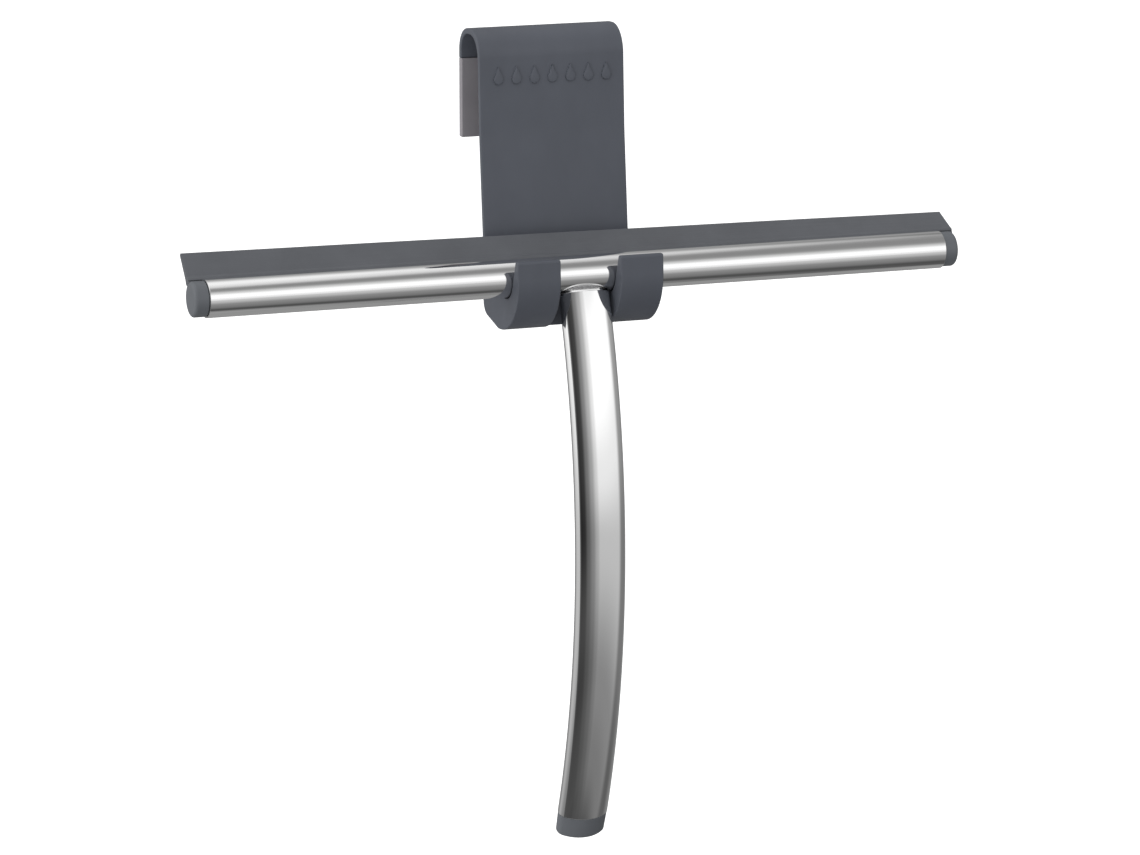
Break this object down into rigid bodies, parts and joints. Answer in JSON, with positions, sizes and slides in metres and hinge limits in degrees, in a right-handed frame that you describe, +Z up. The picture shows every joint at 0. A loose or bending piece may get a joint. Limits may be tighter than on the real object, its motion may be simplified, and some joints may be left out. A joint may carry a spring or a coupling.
{
  "type": "window cleaning squeegee",
  "caption": "Shower squeegee: a rubber blade in a slotted steel tube with a bowed oval handle, hanging in the cradles of a plastic over-door hanger.",
  "frame": {"origin": "middle of the flat seat under the hanger's bend, where the door's top edge bears", "axes": "+X along the blade, +Y from the user's side over the door to the back leg, +Z up"},
  "size_m": [0.2727, 0.0609, 0.2734],
  "materials": {
    "hanger_plastic": "satin moulded slate grey",
    "sleeve_rubber": "smooth lighter grey silicone",
    "polished_steel": "mirror polished stainless steel",
    "carrier_plastic": "extruded natural plastic",
    "blade_rubber": "matt slate grey rubber",
    "cap_plastic": "satin moulded grey",
    "plug_alloy": "as cast",
    "fastener_steel": "plain zinc plated"
  },
  "bodies": {
    "hanger": {"hanger_body": "hanger_plastic", "grip_sleeve": "sleeve_rubber"},
    "squeegee": {"head_tube": "polished_steel", "blade_carrier": "carrier_plastic", "saddle_spacer": "polished_steel", "handle_tube": "polished_steel", "handle_plug": "plug_alloy", "saddle_washer": "fastener_steel", "head_screw": "fastener_steel"},
    "blade": {"blade": "blade_rubber"},
    "left_cap": {"end_cap_left": "cap_plastic"},
    "right_cap": {"end_cap_right": "cap_plastic"},
    "handle_cap": {"handle_end_cap": "cap_plastic"}
  },
  "joints": [
    {"name": "lift_off", "type": "slide", "parent": "hanger", "child": "squeegee", "axis": [0, 0, 1], "range_m": [0, 0.03]},
    {"name": "blade_draw", "type": "slide", "parent": "squeegee", "child": "blade", "axis": [1, 0, 0], "range_m": [0, 0.272]},
    {"name": "right_cap_pull", "type": "slide", "parent": "blade", "child": "right_cap", "axis": [1, 0, 0], "range_m": [0, 0.012]},
    {"name": "left_cap_pull", "type": "slide", "parent": "squeegee", "child": "left_cap", "axis": [-1, 0, 0], "range_m": [0, 0.012]},
    {"name": "handle_cap_pull", "type": "slide", "parent": "squeegee", "child": "handle_cap", "axis": [0, 0.3906, -0.9206], "range_m": [0, 0.013]}
  ]
}
